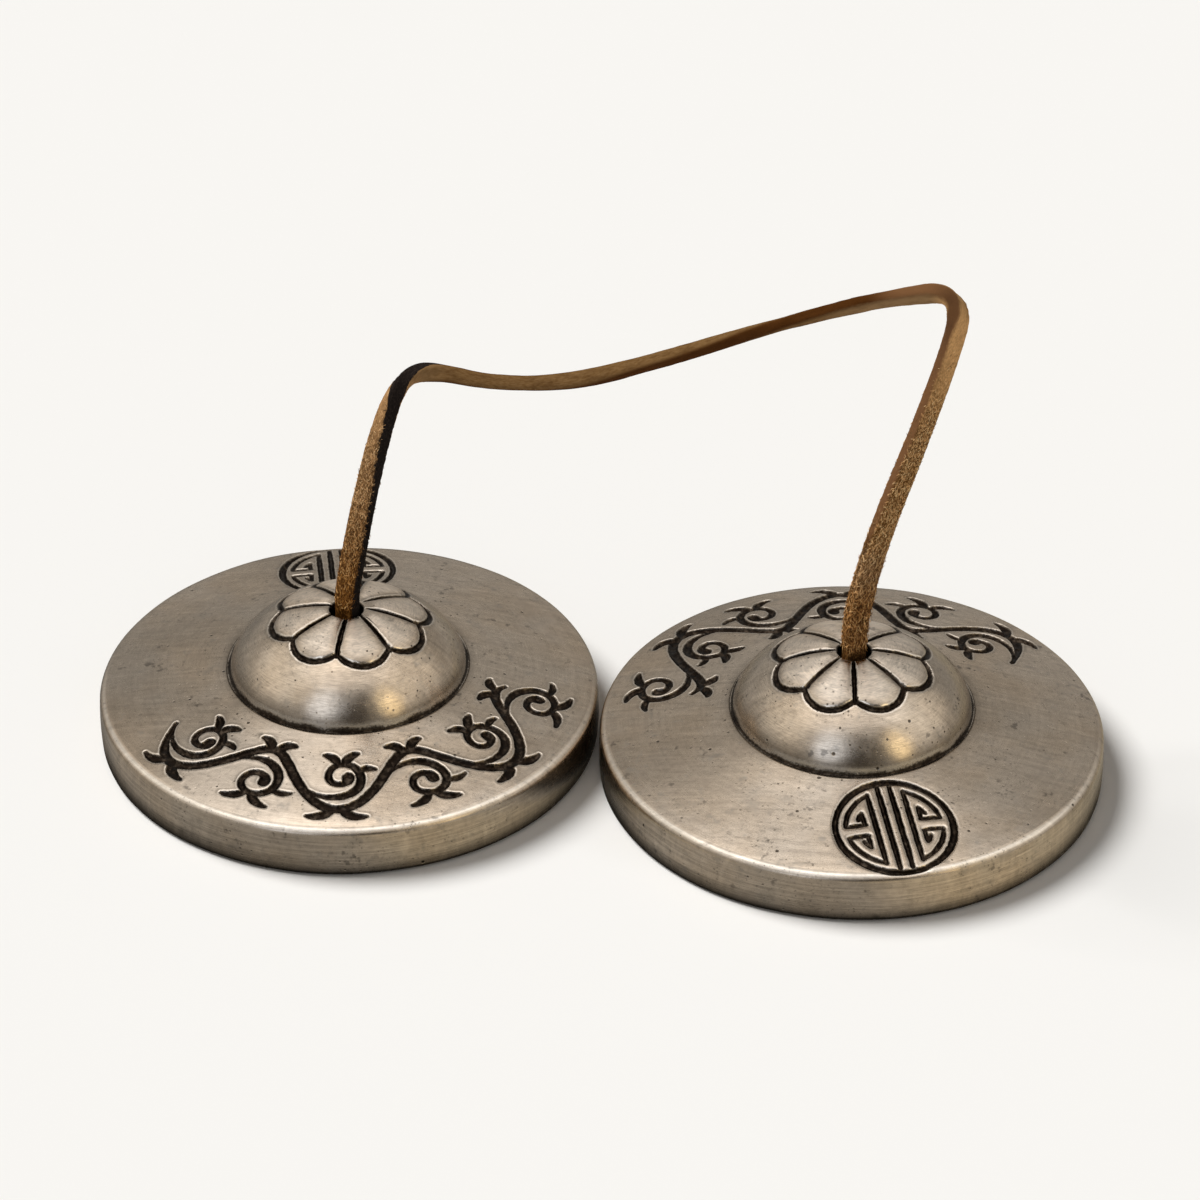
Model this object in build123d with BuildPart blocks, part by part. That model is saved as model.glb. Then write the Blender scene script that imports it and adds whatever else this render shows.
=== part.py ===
import os
from math import acos, atan, cos, radians, sin, tan
from build123d import *

# Driving sizes in millimetres
rim_radius = 32.5
rim_height = 7.0
rim_flat = 4.2
rim_top_round = 0.6
rim_foot_round = 1.5
plate_rise = 3.2
plate_thickness = 4.0
boss_radius = 15.6
boss_height = 8.55
boss_wall = 3.9
groove_width = 0.9
groove_depth = 0.45
hole_radius = 2.15
hole_round = 0.35
rim_gap = 0.7
strap_width = 2.6
strap_thickness = 2.0
strap_round = 0.45
knot_clearance = 0.45
knot_ring = 2.45
knot_cord = 1.3

# Sizes that follow from them
spacing = rim_radius + rim_gap / 2
slope = atan(plate_rise / (rim_radius - boss_radius))
boss_base = rim_height + plate_rise
boss_top = boss_base + boss_height
pivot_height = boss_top + 1.25
cup_radius = boss_radius - boss_wall
cup_roof = boss_top - boss_wall
wall_drop = plate_thickness / cos(slope)


def plate_top(r):
    return boss_base - plate_rise * (r - boss_radius) / (rim_radius - boss_radius)


# Points of a superellipse quarter from its foot up to a hole in its crown
def dome_points(foot_radius, foot, height, power_r, power_z, hole, count):
    last = acos((hole / foot_radius) ** (power_r / 2))
    points = []
    for i in range(count + 1):
        t = last * i / count
        r = foot_radius * cos(t) ** (2 / power_r)
        z = foot + height * sin(t) ** (2 / power_z)
        points.append((r, z))
    return points


# Half section of a cymbal: flat foot ring, round rim, sloping plate, ring groove, domed boss, hole and hollow
def cymbal_section(sketch):
    foot_inner = rim_radius - rim_flat - rim_foot_round
    dish_edge = plate_top(foot_inner) - wall_drop
    step = foot_inner - 0.45 * dish_edge
    cup_base = plate_top(cup_radius) - wall_drop
    crown = dome_points(boss_radius, boss_base, boss_height, 2.3, 1.5, hole_radius, 9)
    roof = dome_points(cup_radius, cup_base, cup_roof - cup_base, 2.2, 2.0, hole_radius, 8)
    corner = (rim_radius, rim_height)
    foot = (rim_radius, 0)
    groove_out = (boss_radius + groove_width, plate_top(boss_radius + groove_width))
    groove_low = (boss_radius + 0.45 * groove_width, boss_base - groove_depth)
    inside = (step, plate_top(step) - wall_drop)
    with BuildLine() as outline:
        Polyline((foot_inner, 0), foot, corner, groove_out)
        ThreePointArc(groove_out, groove_low, crown[0])
        Spline(*crown)
        Line(crown[-1], roof[-1])
        Spline(*reversed(roof))
        Polyline(roof[0], inside, (foot_inner, 0))
    make_face(outline.edges())
    rounds = ((corner, rim_top_round), (foot, rim_foot_round), (crown[-1], hole_round), (inside, 1.2),
              ((foot_inner, 0), 0.5), (roof[-1], 0.25))
    for place, radius in rounds:
        near = Vector(place[0], place[1])
        found = min(sketch.vertices(), key=lambda v: (Vector(v.X, v.Y) - near).length)
        fillet(found, radius)


def section_plane(x):
    return Plane(origin=(x, 0, 0), x_dir=(1, 0, 0), z_dir=(0, -1, 0))


with BuildPart() as left_cymbal:
    with BuildSketch(section_plane(-spacing)) as left_section:
        cymbal_section(left_section)
    revolve(axis=Axis((-spacing, 0, 0), (0, 0, 1)))

with BuildPart() as right_cymbal:
    with BuildSketch(section_plane(spacing)) as right_section:
        cymbal_section(right_section)
    revolve(axis=Axis((spacing, 0, 0), (0, 0, 1)))

# Route of the strap from the left pivot to the right one: across, back and above the pivots, at a 32.85 half spacing
route = [
    (-32.85, 0.0, 0.0), (-32.85, 0.0, 1.9), (-32.35, 0.15, 4.9), (-31.15, 0.55, 11.0), (-29.45, 0.9, 18.4),
    (-27.6, 1.2, 25.2), (-25.8, 1.4, 30.6), (-23.6, 1.4, 34.2), (-19.8, 1.2, 35.2), (-13.5, 0.5, 34.2),
    (-3.2, -0.6, 35.4), (8.5, -1.0, 40.4), (21.0, -0.7, 45.9), (32.0, 0.1, 49.7), (38.4, 0.7, 51.2),
    (42.2, 1.0, 51.5), (44.0, 1.0, 48.9), (43.2, 0.9, 44.7), (41.6, 0.7, 38.4), (39.3, 0.2, 29.5),
    (36.4, -0.3, 19.2), (34.4, -0.3, 10.8), (33.3, -0.1, 5.0), (32.85, 0.0, 1.9), (32.85, 0.0, 0.0),
]
across = spacing / 32.85
points = [Vector(x * across, y, pivot_height + z) for x, y, z in route]


# Each corner's arc is as large as its two runs allow
def corner_radii(line):
    radii = []
    for before, here, after in zip(line, line[1:], line[2:]):
        turn = radians((here - before).get_angle(after - here))
        run = min((here - before).length, (after - here).length)
        radii.append(0.45 * run / tan(turn / 2))
    return radii


radii = corner_radii(points)
with BuildPart() as leather_strap:
    with BuildLine() as strap_path:
        FilletPolyline(*points, radius=radii)
    with BuildSketch(Plane(origin=points[0], x_dir=(1, 0, 0), z_dir=(0, 0, 1))) as strap_section:
        RectangleRounded(strap_width, strap_thickness, strap_round)
    sweep(path=strap_path.wires()[0])

knot_high = cup_roof - knot_clearance - knot_cord - 0.34 * knot_ring
knot_low = knot_high - 1.45 * knot_cord


# Stopper knot under a cup's roof: the neck through the hole, two crossed turns of the lace and its cut tail
def knot(x, side):
    neck_foot = knot_low
    with BuildSketch(Plane(origin=(x, 0, neck_foot), x_dir=(1, 0, 0), z_dir=(0, 0, 1))) as neck:
        RectangleRounded(strap_width, strap_thickness, strap_round)
    extrude(neck.sketch, amount=pivot_height - neck_foot)
    with Locations((x, 0, (knot_high + knot_low) / 2)):
        Cylinder(0.85 * knot_ring, knot_high - knot_low + 1.1 * knot_cord)
    with Locations(Location((x, 0, knot_high), (0, 20 * side, 0))):
        Torus(knot_ring, knot_cord)
    with Locations(Location((x, 0, knot_low), (24 * side, 0, 0))):
        Torus(knot_ring, knot_cord)
    tail = Plane(origin=(x, 0, knot_low), z_dir=(0.75 * side, -0.5 * side, -0.42))
    with BuildSketch(tail) as tail_end:
        RectangleRounded(strap_width, strap_thickness, strap_round)
    extrude(tail_end.sketch, amount=3.2 * knot_ring)


with BuildPart() as left_knot:
    knot(-spacing, 1)

with BuildPart() as right_knot:
    knot(spacing, -1)

os.makedirs("parts", exist_ok=True)
pieces = {
    "left_cymbal": left_cymbal,
    "right_cymbal": right_cymbal,
    "leather_strap": leather_strap,
    "left_knot": left_knot,
    "right_knot": right_knot,
}
for name, piece in pieces.items():
    solid = piece.part
    solid.label = name
    export_step(solid, os.path.join("parts", name + ".step"))
    box = solid.bounding_box()
    print(name, solid.is_valid, len(solid.solids()), round(solid.volume, 2), box.min, box.max)
print("strap radii", [round(r, 1) for r in radii])
length = strap_path.wires()[0].length
print("strap length", round(length, 2), "volume ratio", leather_strap.part.volume / (strap_section.sketch.area * length))
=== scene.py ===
import math
import bpy
import numpy as np
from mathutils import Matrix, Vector


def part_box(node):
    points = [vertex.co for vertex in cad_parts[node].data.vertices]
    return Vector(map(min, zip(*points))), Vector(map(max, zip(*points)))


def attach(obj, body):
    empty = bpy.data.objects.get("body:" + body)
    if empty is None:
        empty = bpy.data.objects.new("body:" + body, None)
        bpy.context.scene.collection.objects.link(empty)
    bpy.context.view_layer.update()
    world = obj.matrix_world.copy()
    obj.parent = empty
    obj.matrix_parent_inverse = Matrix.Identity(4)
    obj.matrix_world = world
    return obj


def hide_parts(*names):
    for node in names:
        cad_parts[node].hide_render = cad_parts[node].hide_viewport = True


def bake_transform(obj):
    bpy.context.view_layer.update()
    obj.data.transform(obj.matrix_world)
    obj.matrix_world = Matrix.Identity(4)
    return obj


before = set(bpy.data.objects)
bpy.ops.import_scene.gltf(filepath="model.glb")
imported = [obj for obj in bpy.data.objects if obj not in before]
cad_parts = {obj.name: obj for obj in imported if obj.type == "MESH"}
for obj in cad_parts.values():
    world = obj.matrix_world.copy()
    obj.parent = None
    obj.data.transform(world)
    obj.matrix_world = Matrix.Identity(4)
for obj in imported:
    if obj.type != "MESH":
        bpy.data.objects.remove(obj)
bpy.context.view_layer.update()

mm = 0.001                  # pieces are worked out in millimetres and put down in metres
tau = 2.0 * math.pi
scene = bpy.context.scene


# rises from 0 to 1 as x goes from low to high, level at both ends: 3t^2 - 2t^3
def ease(low, high, x):
    t = np.clip((x - low) / (high - low), 0.0, 1.0)
    return t * t * (3.0 - 2.0 * t)


# noise from -1 to 1: a hashed value at each whole-number corner of space, blended by eased weights
def latticeNoise(places, seed):
    cell = np.floor(places).astype(np.int64)
    part = places - cell
    part = part * part * (3.0 - 2.0 * part)
    total = np.zeros(places.shape[:-1])
    for corner in range(8):
        step = np.array([corner & 1, (corner >> 1) & 1, corner >> 2])
        key = (cell + step) @ np.array([73856093, 19349663, 83492791]) + seed * 2654435761
        key = (key ^ (key >> 13)) * 1274126177
        value = ((key ^ (key >> 16)) & 65535) / 32767.5 - 1.0
        total += value * np.prod(np.where(step == 1, part, 1.0 - part), axis=-1)
    return total


# lengths along a line of points, summed from its start
def lengths(line):
    return np.append(0.0, np.cumsum(np.linalg.norm(np.diff(line, axis=0), axis=1)))


# rows of values read between the places they belong to, by straight shares
def between(want, places, rows):
    return np.stack([np.interp(want, places, rows[:, k]) for k in range(rows.shape[1])], axis=1)


# evenly spaced points along a line of points, by straight shares of its length
def evenly(line, count):
    run = lengths(line)
    return between(np.linspace(0.0, run[-1], count), run, line)


# each row divided by its own length
def unit(rows):
    return rows / np.maximum(np.linalg.norm(rows, axis=-1, keepdims=True), 1e-12)


# faces between two closed rings of vertex numbers: four-sided, or three triangles a step where one ring is
# twice as fine
def ringFaces(inner, outer):
    if len(inner) == len(outer):
        quads = np.stack([inner, outer, np.roll(outer, -1), np.roll(inner, -1)], axis=1)
        return quads, np.empty((0, 3), int)
    fine, coarse, flip = (outer, inner, False) if len(outer) > len(inner) else (inner, outer, True)
    first, middle, last = fine[0::2], fine[1::2], np.roll(fine[0::2], -1)
    after = np.roll(coarse, -1)
    tris = np.concatenate([
        np.stack([coarse, first, middle], axis=1),
        np.stack([coarse, middle, after], axis=1),
        np.stack([after, middle, last], axis=1)])
    return np.empty((0, 4), int), tris[:, ::-1] if flip else tris


# a smooth-shaded object at the origin from arrays of points in millimetres, quads and triangles
def meshPiece(name, points, quads, tris, material, attributes):
    mesh = bpy.data.meshes.new(name)
    mesh.from_pydata((points * mm).tolist(), [], quads.tolist() + tris.tolist())
    mesh.polygons.foreach_set("use_smooth", np.ones(len(mesh.polygons), bool))
    for label, values in attributes.items():
        kind = "FLOAT" if values.ndim == 1 else "FLOAT_VECTOR"
        field = mesh.attributes.new(label, kind, "POINT")
        field.data.foreach_set("value" if values.ndim == 1 else "vector", values.astype(np.float32).ravel())
    mesh.materials.append(material)
    mesh.update()
    piece = bpy.data.objects.new(name, mesh)
    scene.collection.objects.link(piece)
    return piece


# volume in cubic millimetres enclosed by a mesh, positive when its faces point outwards
def enclosedVolume(points, quads, tris):
    faces = np.concatenate([tris, quads[:, [0, 1, 2]], quads[:, [0, 2, 3]]])
    a, b, c = points[faces[:, 0]], points[faces[:, 1]], points[faces[:, 2]]
    return float(np.sum(a * np.cross(b, c)) / 6.0)


# print a piece's volume and its number of triangles
def tell(name, points, quads, tris):
    volume = round(enclosedVolume(points, quads, tris))
    print(name, "volume", volume, "mm3,", 2 * len(quads) + len(tris), "triangles")


# a node tree: put adds a node with its settings and inputs, and the rest are the forms used most
class Nodes:
    def __init__(self, owner):
        owner.use_nodes = True
        self.tree = owner.node_tree

    def fill(self, node, inputs):
        for name, value in inputs.items():
            if isinstance(value, bpy.types.NodeSocket):
                self.tree.links.new(value, node.inputs[name])
            else:
                node.inputs[name].default_value = value

    def put(self, kind, inputs, **settings):
        node = self.tree.nodes.new("ShaderNode" + kind)
        for name, value in settings.items():
            setattr(node, name, value)
        self.fill(node, inputs)
        return node

    def calc(self, operation, *values):
        return self.put("Math", dict(enumerate(values)), operation=operation).outputs[0]

    # values taken together two at a time
    def chain(self, operation, first, *others):
        for other in others:
            first = self.calc(operation, first, other)
        return first

    def times(self, *values):
        return self.chain("MULTIPLY", *values)

    def plus(self, *values):
        return self.chain("ADD", *values)

    def most(self, *values):
        return self.chain("MAXIMUM", *values)

    def vector(self, operation, inputs, output="Vector"):
        return self.put("VectorMath", inputs, operation=operation).outputs[output]

    # eased from start to end as a value goes from low to high
    def spread(self, value, low, high, start=0.0, end=1.0):
        inputs = {"Value": value, "From Min": low, "From Max": high, "To Min": start, "To Max": end}
        return self.put("MapRange", inputs, interpolation_type="SMOOTHSTEP").outputs["Result"]

    # colour a turned into colour b by a factor
    def tint(self, factor, a, b, mode="MIX"):
        a, b = (c if isinstance(c, bpy.types.NodeSocket) else (*c, 1.0) for c in (a, b))
        return self.put("Mix", {0: factor, 6: a, 7: b}, data_type="RGBA", blend_type=mode).outputs[2]

    def noise(self, place, scale, detail=2.0, rough=0.5):
        inputs = {"Vector": place, "Scale": scale, "Detail": detail, "Roughness": rough}
        return self.put("TexNoise", inputs).outputs[0]

    def stretched(self, place, scale, turn=0.0):
        inputs = {"Vector": place, "Scale": scale, "Rotation": (0.0, 0.0, turn)}
        return self.put("Mapping", inputs).outputs[0]

    def field(self, name, output="Fac"):
        return self.put("Attribute", {}, attribute_name=name).outputs[output]

    def place(self):
        return self.put("TexCoord", {}).outputs["Object"]

    def axes(self, vector):
        return self.put("SeparateXYZ", {0: vector}).outputs

    def bump(self, height, strength, distance):
        inputs = {"Height": height, "Strength": strength, "Distance": distance}
        return self.put("Bump", inputs).outputs[0]


# a material with its nodes and its main shader
def newMaterial(name):
    material = bpy.data.materials.new(name)
    n = Nodes(material)
    return material, n, n.tree.nodes["Principled BSDF"]


# camera, fitted to the two rims, bosses and holes
view = {
    "azimuth": 8.153,       # degrees to the right of straight ahead
    "elevation": 34.16,
    "distance": 612.36,
    "aim": (0.18, 0.0, 23.17),
    "lens": 144.02,
    "sensor": 36.0,
    "farthest": 20.0,       # metres
}


# the camera stands off its aim by a distance along a turn and a lift, and looks back down that line
def makeCamera(v):
    turn, lift = math.radians(v["azimuth"]), math.radians(v["elevation"])
    back = Vector((math.sin(turn) * math.cos(lift), -math.cos(turn) * math.cos(lift), math.sin(lift)))
    data = bpy.data.cameras.new("camera")
    data.lens = v["lens"]
    data.sensor_width = v["sensor"]
    data.clip_end = v["farthest"]
    camera = bpy.data.objects.new("camera", data)
    camera.location = (Vector(v["aim"]) + back * v["distance"]) * mm
    camera.rotation_euler = back.to_track_quat("Z", "Y").to_euler()
    scene.collection.objects.link(camera)
    scene.camera = camera
    return np.array(back)


towardViewer = makeCamera(view)
print("camera placed")


# antique bronze: brushed round the axis, stained, pitted, black in every cut, rubbed bright, with painted
# highlight and painted shade
bronze = {
    "paleMetal": (0.578, 0.490, 0.395),
    "warmMetal": (0.556, 0.448, 0.336),
    "dullMetal": (0.325, 0.292, 0.25),
    # rubbed metal, also the colour of painted highlights on the rim's edge and along the cuts' edges
    "rubbed": (0.86, 0.78, 0.68),
    "patina": (0.015, 0.010, 0.007),
    "patinaWorn": (0.075, 0.056, 0.040),
    # grime, also the colour of painted shade in the boss's crease, on the rim's foot, in the hole and on
    # the cuts' walls
    "grimeAndShade": (0.035, 0.028, 0.021),
    "spot": (0.10, 0.086, 0.072),
    "roughness": 0.245,
    "anisotropy": 0.45,
    # lengths along the outline, out from the hole, where the plate and the rim take over
    "plateStart": (17.0, 20.0),
    "rimStart": (34.5, 36.0),
    # stretch, detail and roughness of the brush marks, short and long
    "brushing": [((9.0, 9.0, 8.5), 4.0, 0.65), ((1.7, 1.7, 2.4), 2.0, 0.5)],
    # scale, detail and roughness of blotch, smudge, stain, mottle, speck, cloud, fleck and patch
    "noises": [
        (70.0, 3.0, 0.55), (210.0, 4.0, 0.6), (460.0, 4.0, 0.65), (1200.0, 3.0, 0.6), (2700.0, 2.0, 0.5),
        (42.0, 2.0, 0.5), (900.0, 2.0, 0.6), (260.0, 1.0, 0.5),
    ],
    # turn and stretch of each set of scratches
    "scratches": [(0.6, (150, 1500, 260)), (-0.75, (130, 1700, 260)), (1.9, (170, 1400, 260))],
    "pits": (560.0, 0.22, 0.12),        # scale, share of the cells and radius
    "finePits": (1500.0, 0.45, 0.24),
}


# round pits: cells of a Voronoi pattern, a share of them chosen, dark within a radius of their own
def pitMask(n, place, scale, share, size):
    cell = n.put("TexVoronoi", {"Vector": place, "Scale": scale})
    draws = n.put("SeparateColor", {0: cell.outputs["Color"]}).outputs
    chosen = n.spread(draws[0], 1.0 - share, 1.005 - share)
    radius = n.spread(draws[1], 0.0, 1.0, 0.35 * size, size)
    inside = n.spread(n.calc("SUBTRACT", cell.outputs["Distance"], radius), 0.025, -0.035)
    return n.times(chosen, inside)


# the bronze: metal tinted by layers of noise, then marked, rubbed, soiled, given painted highlights and
# painted shade, and black in its cuts and pits
def makeBronze(b):
    material, n, shader = newMaterial("aged bronze")
    place = n.place()
    turned, cut, wearSoilAndPaintedLight = n.field("turned", "Vector"), n.field("cut"), n.field("wearSoilAndPaintedLight")
    run = n.axes(turned)[2]
    brushed, longMarks = (n.noise(n.stretched(turned, size), 1.0, *form) for size, *form in b["brushing"])
    blotch, smudge, stain, mottle, speck, cloud, fleck, patch = (
        n.noise(place, *form) for form in b["noises"])
    metal = n.tint(n.spread(blotch, 0.35, 0.65), b["paleMetal"], b["warmMetal"])
    for source, low, high, share in (
            (smudge, 0.55, 0.78, 0.38), (stain, 0.57, 0.74, 0.55), (cloud, 0.50, 0.68, 0.34)):
        metal = n.tint(n.spread(source, low, high, 0.0, share), metal, b["dullMetal"])
    plain = n.plus(n.spread(run, *b["plateStart"], 1.0, 0.42), n.spread(run, *b["rimStart"], 0.0, 0.5))
    marks = n.plus(
        n.times(n.spread(brushed, 0.28, 0.72, -0.17, 0.15), plain),
        n.spread(longMarks, 0.3, 0.7, 0.96, 1.04),
        n.times(n.spread(longMarks, 0.3, 0.7, -0.10, 0.10), n.spread(run, *b["rimStart"])),
        n.spread(mottle, 0.25, 0.75, -0.08, 0.08))
    for turn, size in b["scratches"]:
        scratch = n.noise(n.stretched(place, size, turn), 1.0, 2.0, 0.5)
        light, dark = n.spread(scratch, 0.56, 0.72, 0.0, 0.10), n.spread(scratch, 0.42, 0.28, 0.0, -0.10)
        marks = n.plus(marks, light, dark)
    # rubbed where the attribute is above 0: worn petals and rim edge, with a painted highlight on the rim
    # edge towards the viewer
    metal = n.tint(n.spread(wearSoilAndPaintedLight, 0.05, 0.5, 0.0, 0.9), metal, b["rubbed"])
    metal = n.tint(1.0, metal, marks, "MULTIPLY")
    spots = n.times(n.spread(fleck, 0.56, 0.68), n.spread(patch, 0.58, 0.68), 0.6)
    grains = n.times(n.spread(speck, 0.60, 0.70), n.spread(smudge, 0.42, 0.60), 0.42)
    metal = n.tint(n.most(spots, grains), metal, b["spot"])
    edge = n.plus(cut, n.calc("MULTIPLY_ADD", speck, 0.16, -0.08))      # the cuts' edges, made ragged
    # darker beside the cuts, partly dirt and partly painted shade; below 0 the attribute darkens by soil
    # and painted shade
    grimeAndShade = n.times(n.spread(edge, 0.0, 0.7, 1.0, 0.0), n.spread(smudge, 0.35, 0.7, 0.10, 0.4))
    metal = n.tint(n.most(grimeAndShade, n.spread(wearSoilAndPaintedLight, -0.02, -1.0, 0.0, 0.95)), metal, b["grimeAndShade"])
    # painted shade on the sloping walls of the cuts
    metal = n.tint(n.spread(edge, 0.03, -0.06, 0.0, 0.5), metal, b["grimeAndShade"])
    # a pale band along the cuts' edges: partly rubbed metal, partly a painted highlight
    rubbed = n.times(n.spread(edge, -0.06, 0.04), n.spread(edge, 0.06, 0.26, 1.0, 0.0), 0.42)
    metal = n.tint(rubbed, metal, b["rubbed"])
    fine = n.times(pitMask(n, place, *b["finePits"]), n.spread(smudge, 0.44, 0.58),
                   n.spread(run, 20.0, 26.0, 0.85, 0.45))
    pits = n.most(n.times(pitMask(n, place, *b["pits"]), 0.85), fine)
    black = n.most(n.spread(edge, 0.0, -0.19), pits)
    filling = n.tint(n.spread(mottle, 0.45, 0.75), b["patina"], b["patinaWorn"])
    low, high = b["roughness"] - 0.04, b["roughness"] + 0.05
    handled = n.times(n.spread(wearSoilAndPaintedLight, 0.04, 0.18), n.spread(wearSoilAndPaintedLight, 0.30, 0.5, 1.0, 0.0), 0.24)
    rough = n.plus(
        n.spread(brushed, 0.25, 0.75, high, low), n.spread(smudge, 0.4, 0.8, -0.01, 0.08),
        n.spread(stain, 0.45, 0.75, -0.01, 0.08), handled)
    grit = n.plus(n.times(brushed, 0.10), n.times(mottle, 0.16))
    carved = n.plus(n.spread(edge, 0.04, -0.24), n.times(pits, 0.8), n.times(black, mottle, 0.9))
    n.fill(shader, {
        "Base Color": n.tint(black, metal, filling), "Metallic": 1.0,
        "Roughness": n.most(rough, n.times(black, 0.40)),
        "Anisotropic": b["anisotropy"], "Anisotropic Rotation": 0.25,
        "Tangent": n.put("Tangent", {}, direction_type="RADIAL", axis="Z").outputs[0],
        "Normal": n.bump(n.calc("SUBTRACT", grit, carved), 0.6, 0.0001)})
    return material


agedBronze = makeBronze(bronze)

# the casting, in millimetres; its axis and rim radius come from the part's box in model.glb
cymbal = {
    "plateRise": 3.2,       # fall of the plate from the boss to the rim
    "rimHeight": 7.0,
    "rimRound": 1.1,
    "plateRoll": (3.2, 0.021),      # width of the plate's outer edge that rolls over, and how fast
    "barrel": 0.10,         # how far the rim's side draws in at its edges
    "footRound": 0.8,
    "footInner": 26.8,
    "dishFoot": (25.0, 4.35),
    "bossRadius": 15.3,
    "bossHeight": 8.55,
    "bossPowers": (2.3, 1.5),
    "flowerReach": 11.2,    # finer rings on the boss inside this radius
    "grooveWidth": 0.55,
    "grooveDepth": 0.22,
    "holeRadius": 2.15,
    "holeRound": 0.35,
    "cupRadius": 11.7,
    "cupHeight": 7.98,
    "cupPowers": (2.2, 2.0),
    "wallDrop": 4.07,       # from the plate's top down to its underside
    "footInsideRound": 0.5,
    "dishRound": 1.2,
    "cupRound": 0.5,
    "roofRound": 0.25,
    "around": (384, 768, 384, 192),     # points round the boss, plate, rim and underside
    "ripples": ((0.035, 5.5), (0.05, 14.0)),    # height and length of the casting's unevenness
    # black line round the boss: how far out, half width, waver and the waver's length
    "baseLine": (0.14, 0.205, 0.08, 2.6),
}

# above 0 rubbed metal and painted highlight, below 0 soil and painted shade
wearSoilAndPaintedLightAmounts = {
    "petals": 0.27,
    # the rim's edge: rubbed all round, and a painted highlight added towards the viewer
    "rimEdgeRubAndHighlight": (0.10, 0.38, 0.40),      # all round, added towards the viewer, and width
    # soil and painted shade in the crease where the boss meets the plate
    "bossSoilAndShade": 1.7,        # how far it fades, up the boss and then out over the plate
    "plateSoilAndShade": (0.75, 1.05),
    # painted shade on the rim's rounded foot, where it meets the floor
    "footShade": 0.09,
}

# engraving: strokes on the plate and boss in plan, in millimetres
engraving = {
    "depth": 0.46,
    "wall": 0.40,           # width of a cut's sloping side
    "bare": 3.0,            # distance given to places far from any cut
    "waver": (0.05, 2.1),   # of a cut's edge: how much, and how often in a millimetre
    "beaten": (0.22, 1.9),  # of its floor
    "burr": (0.024, 0.14, 0.18),        # height, distance from the edge and width
    "roundelRound": (0.09, 0.25),       # how deep and how far the ridges of the roundel are rubbed down
    "petals": 8,
    "petalRadius": 3.63,
    "petalCentre": 6.77,
    "petalNotch": 8.8,
    "petalPillow": 0.30,
    "petalWidths": (0.35, 0.39),        # half widths of the straight grooves and the arcs
    "roundelCentre": 24.3,
    "roundelRing": 7.42,
    "roundelBars": ((0.78, 6.75, 0.42), (2.3, 5.75, 0.40)),     # how far off, half length, half width
    "roundelSpan": 44.0,    # degrees of the plate with finer points under the roundel
    "bandRadius": 24.3,
    "bandSpan": 149.0,      # degrees
    "bandWaves": 6,
    "bandSwing": 4.3,
    "fineness": 1.1,        # how many more points an engraved stretch has than a bare one
}


# places on a unit circle: cos and sin of each angle
def onCircle(turn):
    return np.stack([np.cos(turn), np.sin(turn)], axis=-1)


# an arc of a circle that joins the lines a-b and b-c inside the corner b
def cornerArc(a, b, c, radius, count):
    a, b, c = (np.array(p, float) for p in (a, b, c))
    into, out = (a - b) / np.linalg.norm(a - b), (c - b) / np.linalg.norm(c - b)
    half = math.acos(np.clip(into @ out, -1.0, 1.0)) / 2.0
    middle = unit(into + out)
    centre = b + middle * radius / math.sin(half)
    start, end = b + into * radius / math.tan(half), b + out * radius / math.tan(half)
    swing = np.linspace(0.0, 1.0, count)[:, None]
    chord = (start - centre) * (1.0 - swing) + (end - centre) * swing
    return centre + radius * unit(chord)


# quarter of a superellipse: radius times cos^(2/p), height times sin^(2/q), from the base to a least radius
def crown(radius, base, height, powers, least):
    t = np.linspace(0.0, math.pi / 2.0, 3000)
    across, rise = np.cos(t) ** (2.0 / powers[0]), np.sin(t) ** (2.0 / powers[1])
    line = np.stack([radius * across, base + height * rise], axis=1)
    return line[line[:, 0] >= least]


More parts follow.
